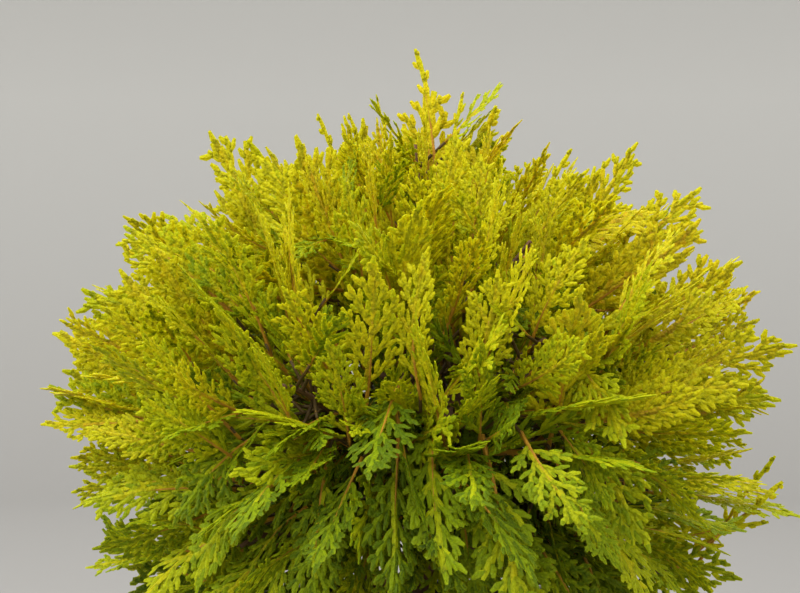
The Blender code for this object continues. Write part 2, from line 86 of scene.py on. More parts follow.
# Shoots along the outline as seen from the front: angle of the tip about the crown's centre and heading, both
# in degrees from +X, reach from the centre, and kind of spray
OUTLINE_SHOOTS = (
    (88.6, 95, 0.134, "slim"),
    (81, 80, 0.119, "slim"),
    (75, 70, 0.117, "slim"),
    (97, 102, 0.118, "slim"),
    (103, 112, 0.113, "slim"),
    (110, 118, 0.115, "slim"),
    (123, 132, 0.118, "slim"),
    (131, 140, 0.122, "full"),
    (148, 150, 0.126, "full"),
    (160, 158, 0.125, "full"),
    (171, 160, 0.136, "full"),
    (181, 172, 0.136, "full"),
    (192, 180, 0.130, "full"),
    (206, 192, 0.131, "full"),
    (217, 207, 0.132, "full"),
    (59, 64, 0.113, "slim"),
    (48, 56, 0.125, "full"),
    (38, 47, 0.131, "full"),
    (23, 36, 0.130, "full"),
    (11.6, 26, 0.138, "full"),
    (3, 14, 0.132, "full"),
    (-7.5, 60, 0.136, "slim"),
    (-11.5, 38, 0.142, "slim"),
    (-17.5, 14, 0.140, "slim"),
    (-27, -6, 0.134, "full"),
    (-36, -22, 0.129, "full"),
)

# The dip in the crown's front: azimuth and elevation in degrees, share of the reach taken away, half width
FRONT_DIP = (-94, 8, 0.22, 21)

# Spray patterns: variants, side branches, then as shares of the spray's length the spacing of the leaf pairs
# and of the fingers, a branchlet's width and the reach of the longest side branch
PATTERNS = {
    "full": (8, 11, 0.052, 0.052, 0.042, 0.38),
    "slim": (3, 9, 0.050, None, 0.038, 0.15),
    "medium": (4, 9, 0.062, 0.072, 0.047, 0.38),
    "plain": (3, 11, 0.085, None, 0.060, 0.34),
}
BARE_AXIS = 0.2
FIRST_BRANCH = 0.10
LAST_BRANCH = 0.95
AXIS_WAVE = 0.012
AXIS_WAVES = 9

# Degrees: a side branch's angle off the axis at its foot, how much less it is at the axis's tip, and how far it
# turns back along its own length, then the same for a finger on its branch
BRANCH_ANGLE = (40, 52)
BRANCH_ANGLE_FALL = 12
BRANCH_TURN = (8, 24)
FINGER_ANGLE = (34, 46)
FINGER_TURN = 14

# How many steps of colour more golden than the spray: at the foot and at the tip
FAN_AXIS_GOLD = (1.8, 0.5)
SLIM_AXIS_GOLD = (0.7, -0.2)
BRANCH_GOLD = (0.8, -0.3)
FINGER_GOLD = (0.1, -0.4)
GOLD_SCATTER = 0.15

# The cone over the rim that tips stay above: its gap beyond the rim, its height over it and its slope
RIM_GAP = 0.004
RIM_CLEARANCE = 0.009
RIM_SLOPE = 0.9

# A spray's way out: pull to the sides, scatter of heading and rise, and turn of a wholly upright one
SIDE_PULL = 1.4
HEADING_SCATTER = 0.2
RISE_SCATTER = 0.14
UPRIGHT_TURN = 0.85

SIDE_SPRAY_SHARE = 0.30
PARCHED = (0.13, 0.095, 0.065)


def metres(name, description, default):
    """A length."""
    return FloatProperty(name=name, description=description, default=default, unit="LENGTH")


def degrees(name, description, turn):
    """An angle, given in degrees."""
    return FloatProperty(name=name, description=description, default=math.radians(turn), subtype="ANGLE")


def watts(name, description, default):
    """A lamp's power."""
    return FloatProperty(name=name, description=description, default=default, unit="POWER")


def ratio(name, description, default):
    """A share or a strength, without a unit."""
    return FloatProperty(name=name, description=description, default=default)


def whole(name, description, default):
    """A whole number."""
    return IntProperty(name=name, description=description, default=default)


def base_colour(name, description, default):
    """A base colour."""
    return FloatVectorProperty(name=name, description=description, default=default, subtype="COLOR")


class TrunkSettings(bpy.types.PropertyGroup):
    """The trunk and the boughs."""

    foot: metres("Foot", "Height of the flat cut", 0.1513)
    top: metres("Top", "Height of the tip", 0.290)
    foot_radius: metres("Foot radius", "Without the flare", 0.0062)
    tip_radius: metres("Tip radius", "At the tip", 0.0022)
    flare: metres("Flare", "Added radius at the foot", 0.0038)
    flare_height: metres("Flare height", "How fast it dies", 0.007)
    lean: ratio("Lean", "Towards +X for each unit of height", 0.045)
    sway: metres("Sway", "Sideways wave", 0.0022)
    bough_foot: metres("Bough foot", "Radius at the trunk", 0.0024)
    bough_tip: metres("Bough tip", "Radius at its end", 0.0015)
    stem_tip: metres("Stem tip", "Radius of a stem's end", 0.0008)
    twig_radius: metres("Twig", "Radius of a twig's foot", 0.00065)
    bark: base_colour("Bark", "Bark colour", (0.20, 0.10, 0.05))
    wood: base_colour("Twigs", "Young wood", (0.10, 0.062, 0.018))
    axis: base_colour("Axes", "Spray axes", (0.55, 0.27, 0.020))


class CrownSettings(bpy.types.PropertyGroup):
    """The crown's size and how many sprays it has."""

    centre: metres("Centre", "Height of the globe's centre", 0.245)
    half_width: metres("Half width", "Along X", 0.134)
    half_depth: metres("Half depth", "Along Y", 0.128)
    rise: metres("Rise", "From the centre up", 0.118)
    fall: metres("Fall", "From the centre down", 0.128)
    lowest: degrees("Lowest", "Lowest elevation", -50)
    ragged: ratio("Ragged", "Scatter of the outline, as a share", 0.09)
    origin: metres("Origin", "Where sprays point away from", 0.214)
    sprays: whole("Sprays", "Outer sprays", 330)
    middle: whole("Middle", "Sprays just inside the outer ones", 160)
    inside: whole("Inside", "Sprays further in", 160)
    inner: whole("Inner", "Inner sprays on each stem", 12)
    length: metres("Length", "Of an outer spray", 0.053)
    seed: whole("Seed", "Of every random choice", 11)


class LeafSettings(bpy.types.PropertyGroup):
    """The colours of the scale leaves, from the shaded inside to the branches' golden feet."""

    deep: base_colour("Deep", "Inside", (0.040, 0.070, 0.002))
    green: base_colour("Green", "Shaded", (0.090, 0.145, 0.002))
    lime: base_colour("Lime", "Low", (0.190, 0.262, 0.002))
    fresh: base_colour("Fresh", "Fingers", (0.355, 0.395, 0.003))
    yellow: base_colour("Yellow", "Lit", (0.495, 0.460, 0.004))
    gold: base_colour("Gold", "Branches", (0.590, 0.480, 0.006))
    amber: base_colour("Amber", "Axes", (0.570, 0.375, 0.010))


class PotSettings(bpy.types.PropertyGroup):
    """The pot and what it holds."""

    height: metres("Height", "Floor to rim", 0.165)
    rim: metres("Rim", "Outer radius of the lip", 0.084)
    neck: metres("Neck", "Wall's radius under the lip", 0.0795)
    base: metres("Base", "Wall's radius at the foot", 0.063)
    wall: metres("Wall", "Thickness", 0.0018)
    floor: metres("Floor", "Thickness of the floor", 0.0025)
    soil: metres("Mix level", "Top of the potting mix", 0.151)
    holes: whole("Holes", "Drain holes round the foot", 8)
    chips: whole("Chips", "Bark chips on the mix", 420)
    plastic: base_colour("Plastic", "Pot", (0.012, 0.012, 0.013))
    mix: base_colour("Mix", "Potting mix", (0.040, 0.024, 0.014))


class StudioSettings(bpy.types.PropertyGroup):
    """Floor, light and camera."""

    distance: metres("Distance", "Camera to crown", 0.72)
    elevation: degrees("Elevation", "Of the camera", 0.4)
    view_width: metres("View width", "At the crown", 0.300)
    aim_left: metres("Aim left", "Of the crown's centre", 0.0056)
    aim_up: metres("Aim up", "Of the crown's centre", 0.0388)
    key_power: watts("Key", "Power of the soft box", 38)
    fill: ratio("Fill", "Strength of the light all round", 1.88)
    floor: base_colour("Floor", "Floor colour", (0.288, 0.282, 0.271))
    wall: base_colour("Wall", "Backdrop", (0.418, 0.414, 0.397))


class Value:
    """A node's output socket. Arithmetic on it adds Math nodes and gives the next socket."""

    def __init__(self, finish, socket):
        self.finish = finish
        self.socket = socket

    def math(self, operation, first, second):
        return self.finish.node("ShaderNodeMath", {"operation": operation}, {0: first, 1: second})

    def __add__(self, other):
        return self.math("ADD", self, other)

    def __sub__(self, other):
        return self.math("SUBTRACT", self, other)

    def __rsub__(self, other):
        return self.math("SUBTRACT", other, self)

    def __mul__(self, other):
        return self.math("MULTIPLY", self, other)

    __radd__ = __add__
    __rmul__ = __mul__


class Finish:
    """A Principled material under construction. Constants go on the shader's own sockets."""

    def __init__(self, name, **constants):
        self.material = bpy.data.materials.new(name)
        self.material.use_nodes = True
        self.tree = self.material.node_tree
        self.shader = self.tree.nodes["Principled BSDF"]
        for socket, value in constants.items():
            self.shader.inputs[socket.replace("_", " ")].default_value = value

    def node(self, kind, settings, inputs, output=0):
        """Adds a node: its settings first, then values or links for its inputs."""
        made = self.tree.nodes.new(kind)
        for key, value in settings.items():
            setattr(made, key, value)
        for key, value in inputs.items():
            if isinstance(value, Value):
                self.tree.links.new(value.socket, made.inputs[key])
            else:
                made.inputs[key].default_value = value
        return Value(self, made.outputs[output])

    def place(self, stretch=(1, 1, 1), attribute=None):
        """Object coordinates, or a vector attribute of the mesh, stretched."""
        if attribute:
            where = self.node("ShaderNodeAttribute", {"attribute_name": attribute}, {}, "Vector")
        else:
            where = self.node("ShaderNodeTexCoord", {}, {}, "Object")
        return self.node("ShaderNodeMapping", {}, {"Vector": where, "Scale": stretch})

    def noise(self, scale, detail=2.0, place=None):
        """Noise from 0 to 1 at a scale in waves per metre."""
        inputs = {"Vector": place or self.place(), "Scale": scale, "Detail": detail}
        return self.node("ShaderNodeTexNoise", {}, inputs)

    def cells(self, scale):
        """Rounded cells, 0 in the middle of each, at a number to the metre."""
        return self.node("ShaderNodeTexVoronoi", {}, {"Vector": self.place(), "Scale": scale})

    def blend(self, factor, low, high):
        """A colour between two, by a factor."""
        inputs = {0: factor, 6: low, 7: high}
        return self.node("ShaderNodeMix", {"data_type": "RGBA"}, inputs, 2)

    def feed(self, socket, value):
        """Links a value to one of the shader's sockets."""
        self.tree.links.new(value.socket, self.shader.inputs[socket])

    def relief(self, height, distance):
        """Bump of a height in metres."""
        inputs = {"Height": height, "Distance": distance, "Strength": 1.0}
        self.feed("Normal", self.node("ShaderNodeBump", {}, inputs))


def tone(colour, factor):
    """A colour made lighter or darker, with full alpha."""
    return (*(min(1.0, channel * factor) for channel in colour), 1.0)


def leaf_finish(name, colour):
    """Waxy scale leaves: one plain colour, a soft gloss that comes and goes, and small overlapping scales."""
    made = Finish(
        f"leaf_{name}", Base_Color=tone(colour, 1), Specular_IOR_Level=0.1,
        Subsurface_Weight=0.5, Subsurface_Radius=(1.0, 0.8, 0.1), Subsurface_Scale=0.003,
    )
    made.feed("Roughness", made.noise(260) * 0.2 + 0.5)
    made.relief(1 - made.cells(850), 0.0004)
    return made.material


def bark_finish(name, colour, grain):
    """Thin fibrous bark: long strands, lighter on their ridges, with dull weathered patches."""
    made = Finish(name, Specular_IOR_Level=0.2)
    strands = made.noise(grain, 5, made.place((1, 1, 0.12), STRAIGHT))
    weathered = made.noise(grain * 0.2, 3)
    ridged = made.blend(strands, tone(colour, 0.35), tone(colour, 1.7))
    greyed = made.blend(weathered * 0.5, ridged, tone(PARCHED, 1))
    made.feed("Base Color", greyed)
    made.feed("Roughness", strands * 0.2 + 0.7)
    made.relief(strands, 0.0008)
    return made.material


def twig_finish(name, colour):
    """Smooth young wood with darker joints."""
    made = Finish(name, Specular_IOR_Level=0.3)
    joints = made.noise(300, 2)
    made.feed("Base Color", made.blend(joints, tone(colour, 0.55), tone(colour, 1.3)))
    made.feed("Roughness", joints * 0.2 + 0.5)
    made.relief(made.noise(900), 0.0003)
    return made.material


def plastic_finish(name, colour):
    """Satin black moulded plastic: a fine grain, faint scuffs, and dust that settles in patches."""
    made = Finish(name, Specular_IOR_Level=0.45)
    dust = made.noise(28, 4)
    made.feed("Base Color", made.blend(dust * 0.5, (*colour, 1), tone((0.07, 0.06, 0.05), 1)))
    scuffs = made.noise(160, 4, made.place((1, 1, 0.15)))
    made.feed("Roughness", scuffs * 0.25 + dust * 0.15 + 0.28)
    made.relief(made.noise(2200, 2), 0.00012)
    return made.material


def mix_finish(name, colour, contrast):
    """Moist crumbs: dark and light bits with a rough broken surface."""
    made = Finish(name, Specular_IOR_Level=0.25)
    crumbs = made.noise(420, 4)
    made.feed("Base Color", made.blend(crumbs, tone(colour, 1 / contrast), tone(colour, contrast)))
    made.feed("Roughness", crumbs * 0.3 + 0.65)
    made.relief(made.noise(700, 5), 0.0012)
    return made.material


def paper_finish(name, floor, wall):
    """Matt seamless paper, darker on the floor, with a barely uneven tone."""
    made = Finish(name, Specular_IOR_Level=0.0)
    cloud = made.noise(1.5, 2)
    height = made.node("ShaderNodeSeparateXYZ", {}, {0: made.place()}, 2)
    made.feed("Base Color", made.blend(height * 1.6 + cloud * 0.04, tone(floor, 1), tone(wall, 1)))
    made.feed("Roughness", cloud * 0.05 + 0.9)
    return made.material


def unit(vectors):
    """Vectors divided by their lengths."""
    return vectors / np.linalg.norm(vectors, axis=-1, keepdims=True)


def polar(azimuth, elevation):
    """Unit vectors at an azimuth and an elevation, in radians."""
    flat = np.cos(elevation)
    return np.stack([flat * np.cos(azimuth), flat * np.sin(azimuth), np.sin(elevation)], -1)


def outward(points, faces):
    """The faces turned over, if need be, so that the closed surface holds a positive volume."""
    corners = points[faces]
    volume = np.einsum("ij,ij->i", corners[:, 0], np.cross(corners[:, 1], corners[:, 2])).sum()
    return faces if volume > 0 else faces[:, ::-1]


def skin(rings):
    """A closed surface through rings of corners: rings[i, j] is corner j of ring i. Two triangles fill each
    cell between a ring and the next, and two triangles or a fan about its middle close each end."""
    count, columns = rings.shape[:2]
    here = np.arange(columns)
    following = (here + 1) % columns
    row = np.arange(count - 1)[:, None] * columns
    first, second = row + here, row + following
    third, fourth = first + columns, second + columns
    sides = [np.stack([first, second, fourth], -1), np.stack([first, fourth, third], -1)]
    faces = [side.reshape(-1, 3) for side in sides]
    points = rings.reshape(-1, 3)
    last = (count - 1) * columns
    if columns == 4:
        end = np.array([[0, 1, 2], [0, 2, 3]])
        faces += [end[:, ::-1], end + last]
    else:
        middle = len(points)
        points = np.concatenate([points, rings[0].mean(0)[None], rings[-1].mean(0)[None]])
        start = np.stack([np.full(columns, middle), following, here], -1)
        end = np.stack([np.full(columns, middle + 1), here + last, following + last], -1)
        faces += [start, end]
    faces = np.concatenate(faces)
    return points, outward(points, faces)


def tube(path, radii, sides, relief=None):
    """A tube: ring i is path[i] + radius * (1 + relief[i, j]) * (cos a * first + sin a * second), where first
    and second stand square to the path and a goes once round."""
    along = unit(np.gradient(path, axis=0))
    guide = np.eye(3)[np.abs(along.mean(0)).argmin()]
    first = unit(guide - along * (along @ guide)[:, None])
    second = np.cross(along, first)
    angle = np.linspace(0, 2 * np.pi, sides, endpoint=False)
    spokes = first[:, None] * np.cos(angle)[:, None] + second[:, None] * np.sin(angle)[:, None]
    size = radii[:, None] * (1 + (0 if relief is None else relief))
    return skin(path[:, None] + spokes * np.broadcast_to(size, spokes.shape[:2])[..., None])


def straightened(path):
    """The path laid out along Z, with the distances between its points kept."""
    steps = np.linalg.norm(np.diff(path, axis=0), axis=1)
    along = np.concatenate([[0], np.cumsum(steps)])
    return along[:, None] * UP


def turned(profile, sides):
    """A closed turned surface: each profile point (radius, height) goes once round Z."""
    angle = np.linspace(0, 2 * np.pi, sides, endpoint=False)
    flat = profile[:, :1, None] * np.stack([np.cos(angle), np.sin(angle)], -1)
    heights = np.broadcast_to(profile[:, 1:, None], (len(profile), sides, 1))
    return skin(np.concatenate([flat, heights], -1))


def rounded(corners, radius, steps=5):
    """A profile with its inner corners rounded: each becomes a quadratic curve that starts and ends at the
    radius, or half the shorter side, before and after the corner."""
    corners = np.asarray(corners, float)
    points = [corners[:1]]
    for before, corner, after in zip(corners, corners[1:], corners[2:]):
        back, ahead = before - corner, after - corner
        reach = min(radius, np.linalg.norm(back) / 2, np.linalg.norm(ahead) / 2)
        start, end = corner + unit(back) * reach, corner + unit(ahead) * reach
        share = np.linspace(0, 1, steps)[:, None]
        points.append(start * (1 - share) ** 2 + corner * 2 * share * (1 - share) + end * share**2)
    return np.concatenate([*points, corners[-1:]])


def joined(parts):
    """Several (points, faces) surfaces as one."""
    counts = np.cumsum([0, *(len(points) for points, _ in parts)])
    points = np.concatenate([points for points, _ in parts])
    faces = np.concatenate([faces + start for (_, faces), start in zip(parts, counts)])
    return points, faces


def repeated(copies, faces):
    """Many copies of one surface as one: copies[i] holds the points of copy i."""
    offsets = np.arange(len(copies))[:, None, None] * copies.shape[1]
    return copies.reshape(-1, 3), (faces[None] + offsets).reshape(-1, 3)


def spun(first, second, turn):
    """Two coordinates turned about the third by an angle."""
    return first * np.cos(turn) - second * np.sin(turn), first * np.sin(turn) + second * np.cos(turn)


def barked(path, radii, sides, relief=None):
    """A limb's tube, and the points of the same tube laid out straight, for the grain of its bark."""
    return tube(path, radii, sides, relief), tube(straightened(path), radii, sides, relief)[0]


def add_piece(name, surface, finishes, stands_for, tints=None, flat=False, straight=None):
    """Makes a piece from (points, faces), gives it its finishes and lets it ride on the plant. tints holds
    each face's finish, and straight each point's place on the straightened limb, for the grain."""
    points, faces = surface
    mesh = bpy.data.meshes.new(name)
    mesh.vertices.add(len(points))
    mesh.vertices.foreach_set("co", points.astype(np.float32).ravel())
    mesh.loops.add(faces.size)
    mesh.loops.foreach_set("vertex_index", faces.astype(np.int32).ravel())
    mesh.polygons.add(len(faces))
    mesh.polygons.foreach_set("loop_start", np.arange(0, faces.size, 3, dtype=np.int32))
    for finish in finishes:
        mesh.materials.append(finish)
    if tints is not None:
        mesh.polygons.foreach_set("material_index", tints.astype(np.int32))
    mesh.update(calc_edges=True)
    if straight is not None:
        grain = mesh.attributes.new(STRAIGHT, "FLOAT_VECTOR", "POINT")
        grain.data.foreach_set("vector", straight.astype(np.float32).ravel())
    if flat:
        mesh.shade_flat()
    piece = bpy.data.objects.new(name, mesh)
    bpy.context.scene.collection.objects.link(piece)
    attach(piece, "root")
    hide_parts(*stands_for)
    return piece


def nodes_named(start):
    """The CAD nodes whose names start in a certain way."""
    return sorted(name for name in ROW if name.startswith(start))


def curved_limb(start, start_direction, end, end_direction, collar, stations):
    """A limb's line: straight for its collar's length, then a cubic Bezier curve to its end."""
    first = start + start_direction * collar
    span = np.linalg.norm(end - first) * HANDLE_SHARE
    share = np.linspace(0, 1, stations)[:, None]
    rest = 1 - share
    start_handle, end_handle = first + start_direction * span, end - end_direction * span
    curve = first * rest**3 + start_handle * 3 * rest**2 * share
    curve += end_handle * 3 * rest * share**2 + end * share**3
    return np.concatenate([start[None], curve])


def trunk_point(height, trunk):
    """The trunk's axis at a height: it leans to +X and sways once."""
    rise = np.asarray(height) - trunk.foot
    sway = trunk.sway * np.sin(2 * np.pi * rise / (trunk.top - trunk.foot))
    return np.stack([trunk.lean * rise + sway * 0.4, sway, height * np.ones_like(rise)], -1)


def trunk_radius(height, trunk):
    """An even taper, with a flare that dies away above the foot."""
    rise = np.asarray(height) - trunk.foot
    share = rise / (trunk.top - trunk.foot)
    taper = trunk.foot_radius + (trunk.tip_radius - trunk.foot_radius) * share
    return taper + trunk.flare * np.exp(-rise / trunk.flare_height)


def crown_reach(direction, crown):
    """How far the outline is from the crown's centre: an ellipsoid with its own half height above and below,
    plus each long shoot's extra length times exp(-(angle off its axis / half width) squared)."""
    half_height = np.where(direction[..., 2] > 0, crown.rise, crown.fall)
    wide = np.full_like(half_height, crown.half_width)
    deep = np.full_like(half_height, crown.half_depth)
    reach = 1 / np.linalg.norm(direction / np.stack([wide, deep, half_height], -1), axis=-1)
    for azimuth, elevation, extra, half_width in LONG_SHOOTS:
        shoot = polar(math.radians(azimuth), math.radians(elevation))
        off_axis = np.degrees(np.arccos(np.clip(direction @ shoot, -1, 1))) / half_width
        reach = reach + extra * np.exp(-(off_axis**2))
    return reach


def crown_point(direction, share, crown):
    """The point at a share of the way from the crown's centre to its outline."""
    return UP * crown.centre + direction * (crown_reach(direction, crown) * share)[..., None]


def make_masses(trunk, crown):
    """Each mass as a dictionary: its name and centre, its bough's line and its stem's line."""
    masses = []
    for tier, count, elevation, first_azimuth, lowest, highest in MASS_TIERS:
        for index in range(count):
            azimuth = math.radians(first_azimuth + 360 * index / count)
            stagger = TIER_STAGGER if index % 2 else -TIER_STAGGER
            direction = polar(azimuth, math.radians(elevation) + stagger)
            order = index * 5 % count if count == 6 else index * 3 % count
            height = lowest + (highest - lowest) * order / (count - 1)
            masses.append(make_mass(f"{tier}_{index + 1}", tier, direction, trunk, crown, height))
    masses.append(make_mass("top", "top", UP, trunk, crown, None))
    return masses


def make_mass(name, tier, direction, trunk, crown, height):
    """One mass: the bough goes from the trunk to where it enters the mass, and the stem on from there."""
    centre = crown_point(direction, np.array(MASS_CENTRE_SHARE), crown)
    stem_end = crown_point(direction, np.array(STEM_END_SHARE), crown)
    bough = None
    if height is None:
        carrier = trunk_point(np.array([trunk.top - BOUGH_COLLAR, trunk.top]), trunk)
    else:
        level = unit(direction * [1, 1, 0])
        foot = trunk_point(height, trunk) + level * trunk_radius(height, trunk)
        end = foot + (centre - foot) * BOUGH_LENGTH_SHARE
        bough = curved_limb(foot, level, end, unit(stem_end - end), BOUGH_COLLAR, 22)
        bough = np.concatenate([trunk_point(height, trunk)[None], bough])
        carrier = bough[-2:]
    along = unit(carrier[1] - carrier[0])
    stem = curved_limb(carrier[1], along, stem_end, direction, STEM_COLLAR, 12)
    return {"name": name, "tier": tier, "centre": centre, "bough": bough, "stem": stem}


def twig_fork(stem, root):
    """Where a twig leaves a stem: at the stem's point nearest the root, set back by 0.7 of the gap."""
    gaps = np.linalg.norm(stem - root, axis=1)
    nearest = gaps.argmin()
    length = np.linalg.norm(stem[-1] - stem[0])
    share = nearest / (len(stem) - 1) - 0.7 * gaps[nearest] / length
    return stem[int(np.clip(share, 0.08, 0.94) * (len(stem) - 1))]


def over_rim(tips, pot):
    """Tips lifted over a cone that starts just above the rim and falls away outside it."""
    past = np.hypot(tips[:, 0], tips[:, 1]) - pot.rim - RIM_GAP
    lowest = pot.height + RIM_CLEARANCE - RIM_SLOPE * np.maximum(past, 0)
    return np.concatenate([tips[:, :2], np.maximum(tips[:, 2], lowest)[:, None]], 1)


def outline_places(crown, rule):
    """The outline's shoots, in the plane that faces the camera."""
    places = []
    for angle, heading, reach, kind in OUTLINE_SHOOTS:
        angle, heading = math.radians(angle), math.radians(heading)
        spread = unit(np.array([math.cos(angle), rule.normal(-0.06, 0.05), math.sin(angle)]))
        direction = unit(np.array([math.cos(heading), rule.normal(-0.1, 0.1), math.sin(heading)]))
        tip = UP * crown.centre + spread * reach
        tint = tint_at(spread, rule) - 0.5
        places.append((spread, tip, kind, crown.length, tint, direction, rule.normal(0, 0.2)))
    return places


def layer_places(count, share, ragged, kind, length, darker, crown, pot, rule):
    """Places at golden-angle directions, at a share of the crown's reach that is scattered inwards. It is a
    little less near the top and in the dip of the front."""
    index = np.arange(count)
    height = 1 - (index + 0.5) / count * (1 - math.sin(crown.lowest)) + rule.normal(0, 0.012, count)
    azimuth = index * GOLDEN_ANGLE + rule.normal(0, 0.06, count)
    spreads = polar(azimuth, np.arcsin(np.clip(height, -0.8, 0.999)))
    flatter = 1 - 0.07 * np.clip((spreads[:, 2] - 0.45) / 0.3, 0, 1)
    azimuth, elevation, depth, half_width = FRONT_DIP
    off_axis = np.arccos(np.clip(spreads @ polar(math.radians(azimuth), math.radians(elevation)), -1, 1))
    dipped = 1 - depth * np.exp(-((np.degrees(off_axis) / half_width) ** 2))
    tips = crown_point(spreads, share * dipped * flatter * (1 + rule.uniform(-1, 0.4, count) * ragged), crown)
    tips = over_rim(tips, pot)
    places = []
    for spread, tip in zip(spreads, tips):
        direction = outward_direction(tip, spread, crown, rule)
        laid_flat = 0.3 + 0.5 * max(facing(spread), low_down(spread))
        roll = (math.pi / 2 if rule.random() < laid_flat else 0) + rule.normal(0, 0.35)
        # The inner layers' tint is lowered by darker: painted shade inside the crown, over the inner leaves'
        # own greener colour.
        tint = tint_at(spread, rule) - darker
        places.append((spread, tip, kind, length * rule.uniform(0.72, 1.18), tint, direction, roll))
    return places


def facing(spread):
    """How much a place looks to the front or to the back, from 0 to 1."""
    return abs(spread[1]) ** 1.5


def low_down(spread):
    """How low a place is, from 0 a little above the globe's middle to 1 underneath."""
    return float(np.clip((0.05 - spread[2]) / 0.6, 0, 1))


def outward_direction(tip, spread, crown, rule):
    """A spray's direction: away from the growth's origin, a little more to the sides, and turned by chance. In
    the front and the back it stands up above the globe's middle and hangs below it."""
    away = unit((tip - UP * crown.origin) * [SIDE_PULL, 1, 1])
    heading = math.atan2(away[1], away[0]) + rule.normal(0, HEADING_SCATTER)
    standing = facing(spread) * float(np.clip(spread[2] / 0.35, 0, 1))
    often = standing * rule.uniform(0.25, 0.95)
    seldom = (1 - standing) * (rule.uniform(0.2, 0.8) if rule.random() < 0.15 else 0)
    upright = often + seldom
    hanging = facing(spread) * float(np.clip((0.12 - spread[2]) / 0.45, 0, 1)) * rule.uniform(0.6, 1.3)
    rise = math.asin(away[2]) * (1 - 0.3 * upright) + upright * UPRIGHT_TURN - hanging
    return polar(heading, rise + rule.normal(0, RISE_SCATTER))


def tint_at(spread, rule):
    """The tint of a spray by its place: golden above and at the sides, greener and darker underneath and in the
    middle of the front and the back, a little warmer towards +X. Underneath this is partly the leaves' own
    greener colour and partly painted shade; in the hollow middle of the front and the back it is painted shade."""
    # The darker, greener tint in the hollow middle of the front and the back is painted shade.
    shaded = spread[1] ** 2 * math.exp(-((spread[2] + 0.05) / 0.5) ** 2)
    return 4.25 - 1.9 * low_down(spread) - 2.2 * shaded + 0.2 * spread[0] + rule.normal(0, 0.45)


def spray_row(fork, root, direction, roll, length, pattern, rule, **changes):
    """One spray: its place, its turn about its own direction, its curves and its tint."""
    level = np.cross(UP, direction)
    level = unit(level) if np.linalg.norm(level) > 1e-3 else np.array([0.0, 1.0, 0.0])
    normal = level * math.cos(roll) + np.cross(direction, level) * math.sin(roll)
    row = {
        "fork": fork, "root": root, "direction": direction, "normal": normal, "length": length,
        "pattern": pattern, "breadth": rule.uniform(0.78, 1.08), "bend": rule.normal(0, 0.3),
        "twist": rule.normal(0, 0.3), "cup": rule.normal(0, 0.45), "side": rule.normal(0, 0.09), "tint": 2.0,
    }
    row.update(changes)
    return row


def grow_crown(trunk, crown, pot, patterns):
    """Every spray of the crown, by mass: outer ones, side ones that fork off them, and inner ones."""
    rule = np.random.default_rng(crown.seed)
    masses = make_masses(trunk, crown)
    centres = np.array([mass["centre"] for mass in masses])
    places = outline_places(crown, rule)
    # Each layer: how many sprays, share of the reach, scatter, kind, size, and how many steps darker its tint
    # is. The inner layers' darker tints are painted shade inside the crown, over the inner leaves' own greener
    # colour.
    layers = (
        (crown.sprays, 0.98, crown.ragged, "full", 1.0, 0),
        (crown.middle, 0.80, 0.12, "medium", 0.9, 0.9),
        (crown.inside, 0.60, 0.14, "medium", 0.8, 1.9),
    )
    for sprays, share, ragged, kind, size, darker in layers:
        places += layer_places(sprays, share, ragged, kind, crown.length * size, darker, crown, pot, rule)
    grown = [[] for _ in masses]
    for spread, tip, kind, length, tint, direction, roll in places:
        owner = np.linalg.norm(centres - (tip + (UP * crown.centre - tip) * 0.25), axis=1).argmin()
        root = tip - direction * length
        low = low_down(spread)
        limp = 0.3 if kind == "slim" else 1
        fork = twig_fork(masses[owner]["stem"], root)
        grown[owner].append(spray_row(
            fork, root, direction, roll, length, pick(patterns[kind], rule), rule, tint=tint,
            bend=-0.5 * low + rule.normal(0, 0.3) * limp, side=0.08 * low + rule.normal(0, 0.09) * limp,
        ))
    for index, mass in enumerate(masses):
        sprays = grown[index] + side_sprays(grown[index], patterns, rule)
        sprays += inner_sprays(mass["stem"], crown, patterns, rule)
        lifted = [clear_of_pot(row, pot) for row in sprays]
        grown[index] = [row for row in lifted if row]
    return masses, grown


def pick(choices, rule):
    """One of several, by chance."""
    return choices[rule.integers(len(choices))]


def clear_of_pot(row, pot):
    """The spray, turned up and lifted step by step while any of it lies within the rim's cylinder, or None if
    that doesn't clear it."""
    for _ in range(7):
        points = placed(row["pattern"][0], [row])[0]
        within = (np.hypot(points[:, 0], points[:, 1]) < pot.rim + 0.001) & (points[:, 2] < pot.height + 0.001)
        if not within.any():
            return row
        direction = unit(row["direction"] + UP * 0.14)
        normal = unit(row["normal"] - direction * (row["normal"] @ direction))
        row = {**row, "direction": direction, "normal": normal, "root": row["root"] + UP * 0.0015}
    return None


def side_sprays(parents, patterns, rule):
    """Smaller sprays that fork off the parents' twigs and bases at about 40 degrees, to any side."""
    found = []
    for parent in parents:
        if rule.random() > SIDE_SPRAY_SHARE:
            continue
        place = rule.uniform(0.35, 1.3)
        fork = parent["fork"] + (parent["root"] - parent["fork"]) * min(place, 1)
        fork = fork + parent["direction"] * parent["length"] * max(place - 1, 0) * 0.5
        angle = rule.uniform(0, 2 * math.pi)
        across = np.cross(parent["normal"], parent["direction"])
        sideways = across * math.cos(angle) + parent["normal"] * math.sin(angle)
        direction = unit(parent["direction"] * 0.77 + sideways * 0.64)
        length = parent["length"] * rule.uniform(0.6, 0.82)
        tint = parent["tint"] - 0.9 + rule.normal(0, 0.5)
        roll = rule.uniform(0, math.pi)
        root, pattern = fork + direction * 0.004, pick(patterns["medium"], rule)
        found.append(spray_row(fork, root, direction, roll, length, pattern, rule, tint=tint))
    return found


